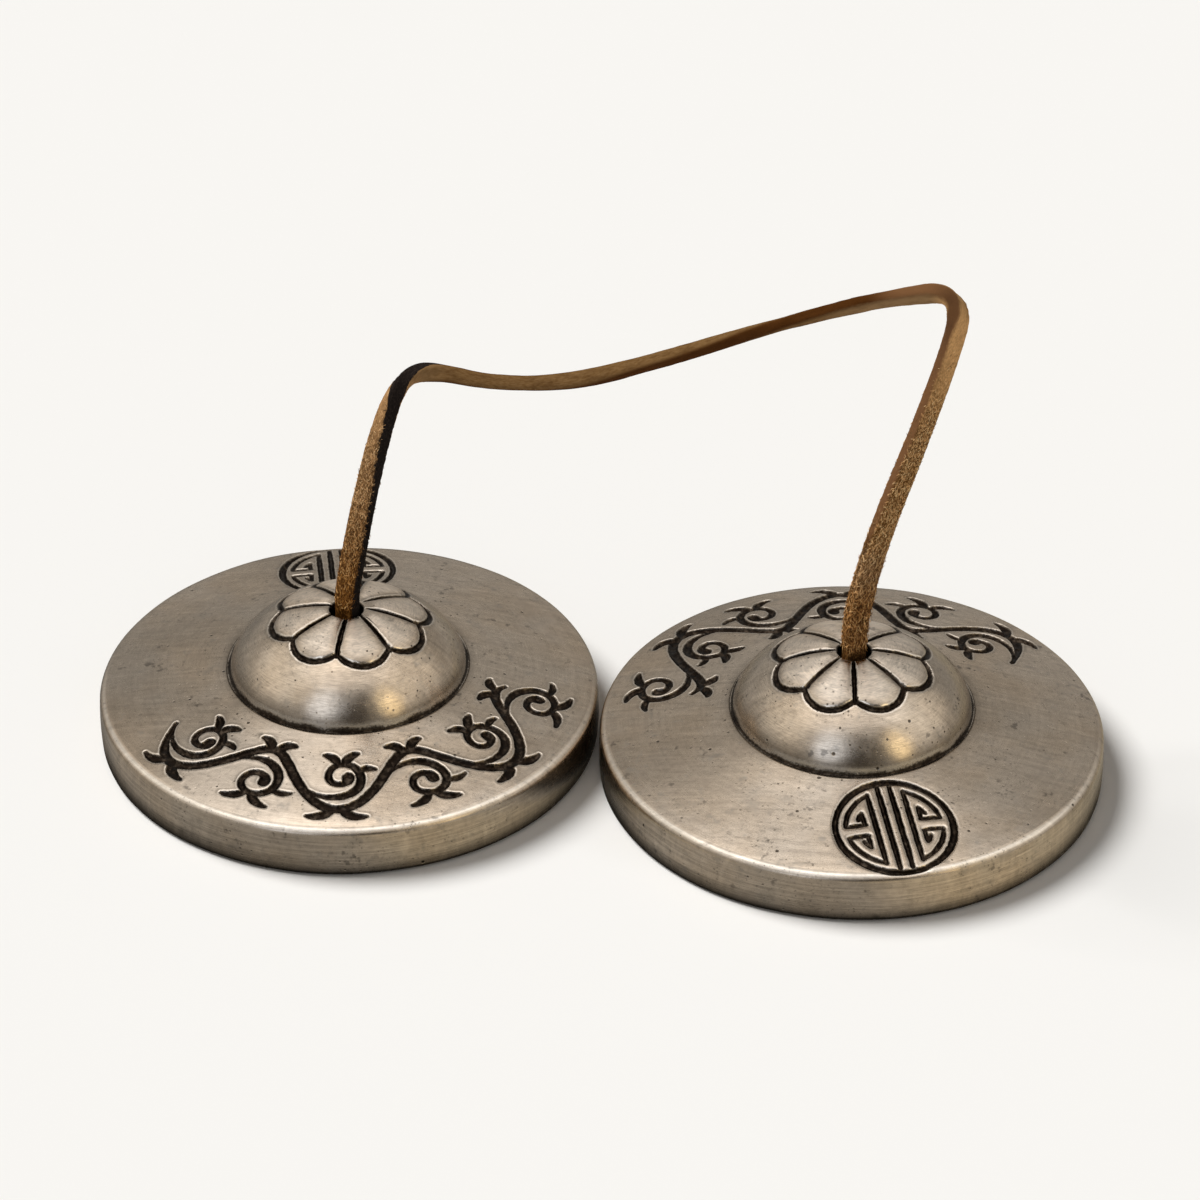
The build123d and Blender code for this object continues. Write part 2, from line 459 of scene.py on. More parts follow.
# the casting's outline as (radius, height) rings in four stretches: boss, plate, rim and underside;
# the outer points of a corner only give directions
def castingOutline(c, rim):
    bossBase = c["rimHeight"] + c["plateRise"]
    slope = c["plateRise"] / (rim - c["bossRadius"])

    def plateTop(r):
        roll = np.maximum(r - rim + c["plateRoll"][0], 0.0)
        return bossBase - slope * (r - c["bossRadius"]) - c["plateRoll"][1] * roll ** 2

    mouthRadius = c["holeRadius"] + c["holeRound"]
    dome = crown(c["bossRadius"], bossBase, c["bossHeight"], c["bossPowers"], mouthRadius)[::-1]
    flower = dome[:, 0] < c["flowerReach"]
    dome = np.concatenate([evenly(dome[flower], 39), evenly(dome[~flower], 14)])
    hole, top = c["holeRadius"], dome[0, 1]
    mouth = cornerArc((hole, 0.0), (hole, top), (9.0, top), c["holeRound"], 5)
    u = np.linspace(0.0, 1.0, 8)[1:-1]
    grooveEnd = c["bossRadius"] + c["grooveWidth"]
    sunk = c["grooveDepth"] * np.sin(math.pi * u) ** 0.8
    groove = np.stack([c["bossRadius"] + c["grooveWidth"] * u,
                       bossBase + (plateTop(grooveEnd) - bossBase) * u - sunk], axis=1)
    boss = np.concatenate([mouth[:-1], dome, groove])
    shoulder, corner = rim - 1.5, (rim, plateTop(rim))
    rimTop = cornerArc((shoulder, plateTop(shoulder)), corner, (rim, 0.0), c["rimRound"], 9)
    r = np.linspace(grooveEnd, rimTop[0, 0], 73)[:-1]
    plate = np.stack([r, plateTop(r)], axis=1)
    footArc = cornerArc(corner, (rim, 0.0), (c["footInner"], 0.0), c["footRound"], 7)
    z = np.linspace(rimTop[-1, 1], footArc[0, 1], 6)[1:-1]
    side = np.stack([np.full(len(z), rim), z], axis=1)
    rimRings = np.concatenate([rimTop, side, footArc])
    middle = (rimTop[-1, 1] + footArc[0, 1]) / 2.0
    bow = np.clip((rimRings[:, 1] - middle) / (rimTop[-1, 1] - middle), -1.0, 1.0) ** 2
    rimRings[:, 0] -= c["barrel"] * bow
    foot, dish = (c["footInner"], 0.0), c["dishFoot"]
    cupBase = plateTop(c["cupRadius"]) - c["wallDrop"]
    cupEdge = (c["cupRadius"], cupBase)
    footInside = cornerArc((rim, 0.0), foot, dish, c["footInsideRound"], 5)
    dishCorner = cornerArc(foot, dish, cupEdge, c["dishRound"], 6)
    cupCorner = cornerArc(dish, cupEdge, (c["cupRadius"], 12.0), c["cupRound"], 5)
    cupRise = crown(c["cupRadius"], cupBase, c["cupHeight"], c["cupPowers"], hole + c["roofRound"])
    cupRise = evenly(cupRise, 21)
    cupRise = cupRise[cupRise[:, 1] > cupCorner[-1, 1] + 0.3]
    roofTop = cupRise[-1, 1]
    roof = cornerArc((9.0, roofTop), (hole, roofTop), (hole, 30.0), c["roofRound"], 4)
    wall = np.linspace(roof[-1], mouth[0], 5)[1:-1]
    under = np.linspace(dishCorner[-1], cupCorner[0], 11)[1:-1]
    flat = np.linspace(footArc[-1], footInside[0], 4)[1:-1]
    slant = np.linspace(footInside[-1], dishCorner[0], 5)[1:-1]
    parts = [flat, footInside, slant, dishCorner, under, cupCorner, cupRise, roof[1:], wall]
    return boss, plate, rimRings, np.concatenate(parts)


# signed distance to the nearest stroke's edge: least distance to its line, less half its width there
def cutField(places, strokes):
    nearest = np.full(len(places), engraving["bare"])
    for line, half in strokes:
        near = np.all((places > line.min(axis=0) - 2.6) & (places < line.max(axis=0) + 2.6), axis=1)
        spot = places[near][:, None]
        start, run = line[:-1], np.diff(line, axis=0)
        share = np.sum((spot - start) * run, axis=-1) / np.maximum(np.sum(run * run, axis=-1), 1e-9)
        share = np.clip(share, 0.0, 1.0)
        away = np.linalg.norm(spot - start - share[..., None] * run, axis=-1)
        gap = away - (half[:-1] + share * np.diff(half))
        nearest[near] = np.minimum(nearest[near], gap.min(axis=1))
    return nearest


# half widths along a stroke: full in the middle, thinner over a share of its length at each end
def taper(count, full, first=0.6, last=0.6, share=0.25):
    t = np.linspace(0.0, 1.0, count)
    opening, closing = ease(0.0, share, t), ease(1.0, 1.0 - share, t)
    return full * (first + (1.0 - first) * opening) * (last + (1.0 - last) * closing)


# petals: grooves straight out from the hole to each notch, and an arc of a circle over each petal's end
def petalStrokes(e, offset, shift):
    strokes = []
    straight, curved = e["petalWidths"]
    for k in range(e["petals"]):
        turn = math.radians(offset) + k * tau / e["petals"]
        middle = turn + math.pi / e["petals"]
        ray, centre = onCircle(turn), e["petalCentre"] * onCircle(middle)
        r = np.linspace(2.2, e["petalNotch"] + 0.35, 14)
        strokes.append((shift + r[:, None] * ray, taper(14, straight, 0.6, 0.85)))
        reach = (math.atan2(*(e["petalNotch"] * ray - centre)[::-1]) - middle) % tau - tau
        arc = centre + e["petalRadius"] * onCircle(middle + np.linspace(reach, -reach + 0.12, 30))
        strokes.append((shift + arc, taper(30, curved, 0.75, 0.6, 0.15)))
    return strokes


# a fret in a ring: two bars through the middle, then in each quarter a bar, an arc, a crossbar and a hook
def roundelStrokes(e, angle):
    ring = np.linspace(0.0, tau, 97)
    strokes = [(e["roundelRing"] * onCircle(ring), 0.47 + 0.05 * np.sin(3.0 * ring + 0.7))]
    for side in (-1.0, 1.0):
        for off, reach, width in e["roundelBars"]:
            bar = np.stack([np.full(12, off * side), np.linspace(-reach, reach, 12)], axis=1)
            strokes.append((bar, taper(12, width, 0.8, 0.8)))
        for up in (-1.0, 1.0):
            arc = 6.1 * onCircle(np.radians(np.linspace(68.0, 8.5, 18)))
            bar = np.stack([np.linspace(6.03, 3.45, 8), np.full(8, 0.9)], axis=1)
            upright = np.stack([np.full(8, 3.6), np.linspace(0.9, 2.9, 8)], axis=1)
            hook = 4.62 * onCircle(np.radians(np.linspace(39.0, 22.0, 8)))
            for line, width in ((arc, 0.38), (bar, 0.36), (upright, 0.35), (hook, 0.35)):
                strokes.append((line * (side, up), taper(len(line), width, 0.8, 0.8)))
    outward, across = onCircle(math.radians(angle)), onCircle(math.radians(angle + 90.0))
    return [((e["roundelCentre"] + line[:, 1:]) * outward + line[:, :1] * across, half)
            for line, half in strokes]


# a running vine: a stem that waves along an arc as a sine, a volute curled into each wave, leaves outside
def vineStrokes(e, start):
    wave = math.radians(e["bandSpan"]) * e["bandRadius"] / e["bandWaves"]

    def onBand(u, v):
        return (e["bandRadius"] + v)[:, None] * onCircle(math.radians(start) + u / e["bandRadius"])

    # a leaf: a line that bends evenly as it leaves its foot, fat in the middle and pointed at its end
    def leaf(u, v, way, length, bend, fat):
        t = np.linspace(0.0, 1.0, 18)
        turn = np.radians(way + bend * t[:-1])
        along = np.append(0.0, np.cumsum(np.cos(turn))) * length / 17.0
        outward = np.append(0.0, np.cumsum(np.sin(turn))) * length / 17.0
        half = 0.34 + (fat - 0.34) * np.sin(math.pi * t ** 0.75) ** 1.2
        return u + along, v + outward, half * (0.8 + 0.2 * ease(1.05, 0.85, t))

    strokes = []
    t = np.linspace(0.0, 1.0, 48)
    for k in range(e["bandWaves"]):
        side = 1.0 if k % 2 == 0 else -1.0
        first, last = (0.5 if k == 0 else 1.0), (0.5 if k == e["bandWaves"] - 1 else 1.0)
        along = t * (1.0 if k < e["bandWaves"] - 1 else 0.7)     # the last wave stops short
        stem = e["bandSwing"] * np.sin(math.pi * along)
        strokes.append((onBand((k + along) * wave, side * stem), taper(48, 0.70, first, last, 0.4)))
        centre, sink = (k + 0.53) * wave, 1.25
        reach = math.hypot(0.53 * wave, sink)
        turn = math.pi - math.atan2(sink, 0.53 * wave) - t * tau * 1.45
        r = 0.95 + 2.25 * (1.0 - t) + (reach - 3.2) * np.exp(-10.0 * t)
        half = 0.25 + 0.40 * ease(0.0, 0.2, t) - 0.14 * ease(0.2, 0.55, t) + 0.32 * ease(0.86, 0.97, t)
        strokes.append((onBand(centre + r * np.cos(turn), side * (r * np.sin(turn) - sink)), half))
        crest = (k + 0.5) * wave
        for u, v, way, length, bend, fat in (
                (crest + 0.5, e["bandSwing"] + 0.2, 52.0, 3.0, -62.0, 0.70),
                (crest - 0.5, e["bandSwing"] + 0.2, 128.0, 3.0, 62.0, 0.70),
                (centre + 0.2, -sink - 2.1, -62.0, 3.1, 58.0, 0.68),
                (centre - 0.4, -sink - 2.1, -122.0, 2.9, -58.0, 0.64),
                (centre + 2.6, -sink - 1.0, -20.0, 2.2, 46.0, 0.52)):
            u, v, half = leaf(u, v, way, length, bend, fat)
            strokes.append((onBand(u, side * v), half))
    return strokes


# angles round the axis as shares of a turn pass from 0 to 1, closer together over the engraved stretches
def closerTurns(e, roundelAngle, vineStart):
    turn = np.linspace(0.0, 360.0, 7201)
    density = np.ones(len(turn))
    vineMiddle = vineStart + e["bandSpan"] / 2.0
    for middle, span in ((roundelAngle, e["roundelSpan"]), (vineMiddle, e["bandSpan"] + 8.0)):
        away = np.abs((turn - middle + 180.0) % 360.0 - 180.0)
        density += e["fineness"] * ease(span / 2.0 + 6.0, span / 2.0 - 2.0, away)
    share = np.append(0.0, np.cumsum((density[1:] + density[:-1]) / 2.0))
    return share / share[-1], np.radians(turn)


# one casting: the outline spun round its axis, cut by the strokes along the surface's own normals
def makeCymbal(name, body, offset, shift, roundelAngle, vineStart, seed):
    c, e, w = cymbal, engraving, wearSoilAndPaintedLightAmounts
    low, high = (np.array(corner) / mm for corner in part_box(name))
    axis, rim = (low + high)[:2] / 2.0, (high - low)[0] / 2.0
    stretches = castingOutline(c, rim)
    bossRings, plateRings = len(stretches[0]), len(stretches[1])
    outline = np.concatenate(stretches)
    ringSizes = np.repeat(c["around"], [len(s) for s in stretches])
    tangent = np.roll(outline, -1, axis=0) - np.roll(outline, 1, axis=0)
    normal = unit(np.stack([-tangent[:, 1], tangent[:, 0]], axis=1))
    firsts = np.cumsum(ringSizes) - ringSizes
    ring = np.repeat(np.arange(len(outline)), ringSizes)
    share = (np.arange(len(ring)) - firsts[ring]) / ringSizes[ring]
    radial = onCircle(np.interp(share, *closerTurns(e, roundelAngle, vineStart)))
    radius, height = outline[ring].T
    run = lengths(outline)
    fromHole = run[ring]
    plan = radius[:, None] * radial
    place = np.column_stack([plan, height])
    boss = ring < bossRings
    flat = (ring >= bossRings) & (ring < bossRings + plateRings + 4)

    # strokes, with edges a little uneven and floors beaten by the chisel
    cut, roundel = np.full((2, len(ring)), e["bare"])
    cut[boss] = cutField(plan[boss], petalStrokes(e, offset, np.array(shift)))
    roundel[flat] = cutField(plan[flat], roundelStrokes(e, roundelAngle))
    cut[flat] = np.minimum(roundel[flat], cutField(plan[flat], vineStrokes(e, vineStart)))
    petals = cut[boss].copy()
    waver, beaten = (e[kind][0] * latticeNoise(place * e[kind][1], seed + k)
                     for kind, k in (("waver", 2), ("beaten", 4)))
    cut += np.where(cut < 1.0, waver, 0.0)
    burr, outside, wide = e["burr"]
    lift = burr * np.exp(-((cut - outside) / wide) ** 2)
    lift -= e["depth"] * ease(0.0, e["wall"], -cut) * (1.0 + beaten)
    rubbed, reach = e["roundelRound"]
    lift -= rubbed * np.exp(-np.maximum(roundel, 0.0) / reach)

    # petals stand up as pillows
    across, deep = (plan[boss] - shift).T
    inside = np.hypot(across, deep)
    spoke = (np.arctan2(deep, across) - math.radians(offset)) % (tau / e["petals"]) - math.pi / e["petals"]
    along, beside = inside * np.cos(spoke), inside * np.sin(spoke)
    within = (along < e["petalCentre"]) | (np.hypot(along - e["petalCentre"], beside) < e["petalRadius"])
    raised = np.where(within, 1.0 - np.exp(-np.maximum(petals, 0.0) / 0.6), 0.0) * ease(2.3, 3.6, inside)
    lift[boss] += e["petalPillow"] * raised

    # rubbed petals and rim edge, with a painted highlight on the rim edge towards the viewer; soil and
    # painted shade where the boss meets the plate, painted shade on the foot and in the hole
    wearSoilAndPaintedLight = np.zeros(len(ring))
    wearSoilAndPaintedLight[boss] = w["petals"] * raised
    allRound, highlightTowardViewer, wide = w["rimEdgeRubAndHighlight"]
    rimEdgeRubAndHighlight = np.exp(-((fromHole - run[bossRings + plateRings + 2]) / wide) ** 2)
    # painted highlight: the rim's edge made brighter on the side towards the viewer
    wearSoilAndPaintedLight += (allRound + highlightTowardViewer * ease(-0.2, 0.7, -radial[:, 1])) * rimEdgeRubAndHighlight
    fromBase = fromHole - run[bossRings - 6]
    soilAndShade, reach = w["plateSoilAndShade"]
    # soil and painted shade in the crease round the boss's foot, fading up the boss and out over the plate
    wearSoilAndPaintedLight -= np.where(fromBase < 0.0, np.exp(fromBase / w["bossSoilAndShade"]), soilAndShade * np.exp(-fromBase / reach))
    # painted shade on the rounded foot of the rim
    wearSoilAndPaintedLight -= w["footShade"] * ease(1.0, 0.2, height) * (radius > c["footInner"])
    # painted shade inside the hole
    wearSoilAndPaintedLight -= ease(c["holeRadius"] + 0.32, c["holeRadius"] + 0.05, radius)
    outside, half, waver, length = c["baseLine"]
    baseCut = np.abs(radius - c["bossRadius"] - outside) - half
    baseCut += waver * latticeNoise(place / length, seed + 6)
    cut = np.where(boss | flat, np.minimum(cut, baseCut), cut)

    (fine, short), (coarse, long) = c["ripples"]
    lift += fine * latticeNoise(place / short + seed, seed) + coarse * latticeNoise(place / long, seed + 1)
    lift *= np.where((height < 0.05) | (radius < c["holeRadius"] + 0.1), 0.0, 1.0)
    moved = outline[ring] + normal[ring] * lift[:, None]
    points = np.column_stack([moved[:, :1] * radial + axis, moved[:, 1]])
    rows = [np.arange(first, first + size) for first, size in zip(firsts, ringSizes)]
    faces = [ringFaces(a, b) for a, b in zip(rows, rows[1:] + rows[:1])]
    quads, tris = (np.concatenate(kind) for kind in zip(*faces))
    tell(name, points, quads, tris)
    piece = meshPiece(name.replace("_cymbal", "_casting"), points, quads, tris, agedBronze, {
        "cut": cut, "wearSoilAndPaintedLight": wearSoilAndPaintedLight, "turned": np.column_stack([radial, fromHole])})
    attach(piece, body)
    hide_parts(name)


makeCymbal("left_cymbal", "left_cymbal", -1.0, (0.42, 0.45), 104.1, -144.5, 11)
makeCymbal("right_cymbal", "right_cymbal", 8.0, (-0.2, 0.0), -71.6, 36.5, 23)
print("castings done")


# lace of cut hide; places in millimetres, lengths along it counted from the left hole's mouth
lace = {
    "route": [
        (-32.7, 0, 20), (-32.6, 0, 21.9), (-32.05, 0.15, 24.9), (-31, 0.55, 31),
        (-29.5, 0.9, 38.4), (-27.85, 1.2, 45.3), (-26.1, 1.4, 50.8), (-23.85, 1.4, 54.15),
        (-20.2, 1.2, 54.75), (-13.5, 0.5, 54.1), (-3.2, -0.6, 55.7), (8.5, -1, 60.45),
        (21, -0.7, 65.8), (32, 0.1, 69.6), (38.4, 0.7, 71), (42.25, 1, 71.6),
        (44.2, 1, 68.9), (43.5, 0.9, 64.6), (41.9, 0.7, 58.3), (39.4, 0.2, 49.5),
        (36.25, -0.3, 39.2), (34.2, -0.3, 30.8), (33.2, -0.1, 25), (32.85, 0, 21.9),
        (32.85, 0, 20),
    ],
    # length along, roll in degrees (0 turns the napped face to the viewer), width, thickness
    "stations": [
        (-6, 24, 2.80, 1.95), (0, 24, 2.95, 2.05), (8.5, 18, 2.95, 2.05), (17, 22, 2.75, 2.05),
        (21.7, 32, 2.58, 2.12), (27.7, 45, 2.35, 2.06), (31.9, 68, 2.05, 1.95), (34.4, 89, 2.12, 1.98),
        (36.4, 123, 2.22, 1.86), (37.8, 155, 2.22, 1.76), (40, 178, 2.24, 1.72), (45, 181, 1.85, 1.62),
        (51.5, 183, 1.87, 1.70), (57.2, 190, 2.15, 1.85), (63, 204, 2.04, 1.75), (69, 213, 1.93, 1.67),
        (74.7, 229, 1.93, 1.69), (80.6, 258, 1.83, 1.69), (86.2, 285, 1.74, 1.53), (91.7, 302, 1.90, 1.63),
        (97.1, 305, 2.01, 1.64), (102.4, 303, 2.40, 1.78), (104.6, 280, 2.42, 2.02),
        (106.8, 235, 2.36, 2.15), (108.4, 213, 2.38, 2.2), (111, 205, 2.35, 2.2),
        (116.4, 207, 2.33, 2.16), (126, 208, 2.47, 2.16), (135, 208, 2.75, 2.14),
        (145, 208, 2.77, 2.14), (151, 208, 2.95, 2.1), (163.5, 208, 2.85, 2),
    ],
    "step": 0.17,
    "sides": 56,
    "squareness": 4.6,      # power of the outline on the legs
    "softness": 3.0,        # and over the top, where it is rubbed round
    "seam": 24.0,           # height where the bent stubs in the holes meet the free stretch
    "diameter": 0.0026,     # of a round cord that bends alike, in metres
    # fibres and slow bumps of the skin: height, how often in a millimetre, and seed
    "fine": [(0.045, (3.2, 5.2, 5.2), 5), (0.035, (6.1, 9.0, 9.0), 6)],
    "slow": [(0.05, (0.32, 0.5, 0.5), 7), (0.02, (1.1, 1.5, 1.5), 8)],
    # lengths where a change along the lace begins and ends
    "napEnds": [(39.0, 31.0), (101.0, 108.0)],
    "shagEnds": [(33.0, 16.0), (110.0, 132.0)],
    "roundEnds": [(38.0, 45.0), (104.0, 98.0)],
    "blackEnds": [(35.5, 42.0), (30.6, 34.0)],      # fading out, and going round the bend
    "brownEnds": [(40.0, 45.0), (66.0, 54.0), (134.0, 149.0)],
    # painted light along the lace: rising up the left leg, falling over the top, rising onto the right leg
    # and easing by the right hole
    "paintedLightEnds": [(-7.0, 27.0), (44.0, 36.0), (80.0, 102.0), (138.0, 152.0)],
}


# the smooth line that a NURBS spline of order 3 makes of control points in millimetres
def splineLine(controls):
    curve = bpy.data.curves.new("line", "CURVE")
    curve.dimensions = "3D"
    curve.resolution_u = 24
    spline = curve.splines.new("NURBS")
    spline.points.add(len(controls) - 1)
    weighted = np.column_stack([np.array(controls) * mm, np.ones(len(controls))])
    spline.points.foreach_set("co", weighted.ravel())
    spline.order_u = 3
    spline.use_endpoint_u = True
    holder = bpy.data.objects.new("line", curve)
    mesh = bpy.data.meshes.new_from_object(holder)
    line = np.empty(3 * len(mesh.vertices))
    mesh.vertices.foreach_get("co", line)
    bpy.data.objects.remove(holder)
    bpy.data.curves.remove(curve)
    bpy.data.meshes.remove(mesh)
    return line.reshape(-1, 3) / mm


laceLine = splineLine(lace["route"])
laceRun = lengths(laceLine)
laceLength = laceRun[-1]
laceTangent = unit(np.gradient(laceLine, axis=0))
print("lace between the holes:", round(laceLength, 2), "mm")


# centre, face normal and side normal of the lace at each length; straight down past either hole's mouth
def laceFrame(s):
    inside = np.clip(s, 0.0, laceLength)
    centre = between(inside, laceRun, laceLine)
    centre[:, 2] -= np.abs(s - inside)
    tangent = unit(between(inside, laceRun, laceTangent))
    stations = np.array(lace["stations"])
    roll = np.radians(np.interp(s, stations[:, 0], stations[:, 1]))[:, None]
    toward = unit(towardViewer - np.sum(towardViewer * tangent, axis=1, keepdims=True) * tangent)
    left = np.cross(toward, tangent)
    faceNormal = np.cos(roll) * toward + np.sin(roll) * left
    sideNormal = np.sin(roll) * toward - np.cos(roll) * left
    return centre, faceNormal, sideNormal


# width and thickness at each length, eased between the stations
def laceSize(s):
    stations = np.array(lace["stations"])
    grid = np.arange(stations[0, 0], stations[-1, 0], 0.5)
    soft = np.exp(-0.5 * (np.arange(-8, 9) / 3.0) ** 2)
    soft /= soft.sum()
    sizes = []
    for column in (2, 3):
        rough = np.pad(np.interp(grid, stations[:, 0], stations[:, column]), 8, mode="edge")
        sizes.append(np.interp(s, grid, np.convolve(rough, soft, mode="valid")))
    return sizes


# a rounded oblong: cos and sin of an angle, each raised to 2/power, at equal steps of its outline
def oblong(count, power, wide, thick):
    t = np.linspace(0.0, tau, 6001)
    p, q = (np.sign(f) * np.abs(f) ** (2.0 / power) for f in (np.cos(t), np.sin(t)))
    run = np.append(0.0, np.cumsum(np.hypot(np.diff(p * wide), np.diff(q * thick))))
    want = np.linspace(0.0, run[-1], count, endpoint=False)
    return np.interp(want, run, p), np.interp(want, run, q)


sectionSide, sectionFace = oblong(lace["sides"], lace["squareness"], 2.3, 1.8)
softSide, softFace = oblong(lace["sides"], lace["softness"], 2.3, 1.8)


# eases from 0 to 1 along the lace, one for each pair of lengths
def changes(kind, s):
    return (ease(*ends, s) for ends in lace[kind])


# how worn the nap is along the lace: full on both legs, rubbed smooth on the top stretch
def napAmount(s):
    return 0.15 + 0.85 * np.maximum(*changes("napEnds", s))


# how shaggy it is: most by the holes, smooth at the top of either leg
def shagAt(s):
    return np.maximum(*changes("shagEnds", s))


# the lace's skin: the oblong carried along the line, roughened by fine noise where it is napped
def laceSkin(centre, faceNormal, sideNormal, wide, thick, s):
    rubbed = np.multiply(*changes("roundEnds", s))[:, None]
    p = (sectionSide + (softSide - sectionSide) * rubbed) * wide[:, None] / 2.0
    q = (sectionFace + (softFace - sectionFace) * rubbed) * thick[:, None] / 2.0
    laid = np.stack([np.broadcast_to(s[:, None], p.shape), p, q], axis=-1)
    out = unit(np.stack([np.zeros_like(p), np.sign(p) * np.abs(sectionSide) ** 3.6 / wide[:, None],
                         np.sign(q) * np.abs(sectionFace) ** 3.6 / thick[:, None]], axis=-1))
    smoothSide = ease(0.0, 0.25, np.abs(sectionSide) - np.abs(sectionFace))
    nap = napAmount(s)[:, None] * (1.0 - 0.65 * smoothSide)
    fine, slow = (sum(high * latticeNoise(laid * often, seed) for high, often, seed in lace[kind])
                  for kind in ("fine", "slow"))
    push = fine * nap + slow
    p, q = p + push * out[..., 1], q + push * out[..., 2]
    return centre[:, None] + p[..., None] * sideNormal[:, None] + q[..., None] * faceNormal[:, None], laid


# dye at a length and a place on the outline: black on one cut side of the left leg, brown on the other, and
# the nap; hardly any brown on the first of the top stretch, and none by the right hole
def dyeAt(s, side, face):
    fade, bend = changes("blackEnds", s)
    topStart, topEnd, foot = changes("brownEnds", s)
    wrapped = 2.2 * bend * (1.0 - fade) * ease(-0.2, 0.5, face)
    black = side - np.abs(face) - 1.3 * fade + wrapped
    plain = 0.6 * topStart * topEnd + 0.9 * foot
    brown = np.maximum(-side - np.abs(face) - plain, side - np.abs(face) - 1.3 * (1.0 - fade) - 0.5 * fade)
    return np.stack([black, brown, np.broadcast_to(napAmount(s), black.shape)], axis=-1)


# the same for every point of the outline at each length
def laceDye(s):
    return dyeAt(s[:, None], sectionSide, sectionFace)


# painted light on the hide, lighter where more light falls on it: 0 by the left hole, 1 at the top of the
# left leg, 2 on the right leg
def paintedLightAt(s):
    rising, falling, right, foot = changes("paintedLightEnds", s)
    return np.maximum(rising * falling, 2.0 * right * (1.0 - 0.82 * foot))


# rows of rings into one closed tube with a fan of triangles over each end, whose rim is kept sharp
def tubePiece(name, rings, laid, dye, material):
    count, sides = rings.shape[:2]
    rows = np.arange(count * sides).reshape(count, sides)
    after = np.roll(rows, -1, axis=1)
    quads = np.stack([rows[:-1], after[:-1], after[1:], rows[1:]], axis=-1).reshape(-1, 4)
    points = np.concatenate([rings.reshape(-1, 3), rings[[0, -1]].mean(axis=1)])
    tris = np.concatenate([
        np.column_stack([after[0], rows[0], np.full(sides, rows.size)]),
        np.column_stack([rows[-1], after[-1], np.full(sides, rows.size + 1)])])
    if enclosedVolume(points, quads, tris) < 0.0:
        quads, tris = quads[:, ::-1], tris[:, ::-1]
    ends = lambda values: np.concatenate([values.reshape(-1, 3), values[[0, -1]].mean(axis=1)])
    laid, dye = ends(laid), ends(dye)
    piece = meshPiece(name, points, quads, tris, material, {
        "laid": laid, "dye": dye, "paintedLight": paintedLightAt(laid[:, 0]), "shag": shagAt(laid[:, 0])})
    edges = np.empty(2 * len(piece.data.edges), int)
    piece.data.edges.foreach_get("vertices", edges)
    edges = edges.reshape(-1, 2)
    onLast = (edges >= rows[-1, 0]) & (edges < rows.size)
    onEnd = np.all(edges < sides, axis=1) | np.all(onLast, axis=1)
    piece.data.attributes.new("sharp_edge", "BOOLEAN", "EDGE").data.foreach_set("value", onEnd)
    tell(name, points, quads, tris)
    return piece


# hide: tan nap of short fibres, one side dyed nearly black, the other a smooth red brown
hide = {
    # dark, middle and pale nap: by the left hole, painted lighter towards the top of the left leg, and
    # painted lighter still on the right leg
    "nap": [(0.068, 0.023, 0.002), (0.480, 0.207, 0.046), (1.000, 0.580, 0.225)],
    "litNap": [(0.150, 0.075, 0.028), (0.640, 0.368, 0.162), (1.000, 0.680, 0.360)],
    "rightLegLitNap": [(0.115, 0.048, 0.009), (0.780, 0.442, 0.182), (1.000, 0.720, 0.370)],
    # painted shade between the tufts of nap
    "tuftShadeTan": (0.050, 0.018, 0.003),
    "spanTan": (0.140, 0.072, 0.024),
    "spanPale": (0.203, 0.113, 0.045),
    # worn hide painted lighter where the painted light rises
    "spanLitPale": (0.330, 0.205, 0.100),
    "brown": (0.046, 0.015, 0.002),
    "paleBrown": (0.088, 0.031, 0.007),
    # the brown side painted lighter on the right leg
    "rightLegLitBrown": (0.232, 0.112, 0.048),
    "black": (0.0125, 0.0088, 0.0075),
    "fadedBlack": (0.046, 0.034, 0.027),
    "roughness": 0.9,
    "specular": 0.08,
    # stretch, detail and roughness of the fibre, the tufts and the grain
    "noises": [((2.6, 5.6, 5.6), 4.0, 0.68), ((0.55, 1.3, 1.3), 3.0, 0.55), ((1.6, 5.0, 5.0), 3.0, 0.6)],
}


# nap from dark to pale by a tone, and again painted lighter by the painted light
def napColour(n, tone, paintedLight, h):
    shades = []
    for dark, middle, pale in (h["nap"], h["litNap"], h["rightLegLitNap"]):
        low = n.tint(n.spread(tone, 0.0, 0.5), dark, middle)
        shades.append(n.tint(n.spread(tone, 0.5, 1.0), low, pale))
    left = n.tint(n.spread(paintedLight, 0.0, 1.0), *shades[:2])
    return n.tint(n.spread(paintedLight, 1.0, 2.0), left, shades[2])
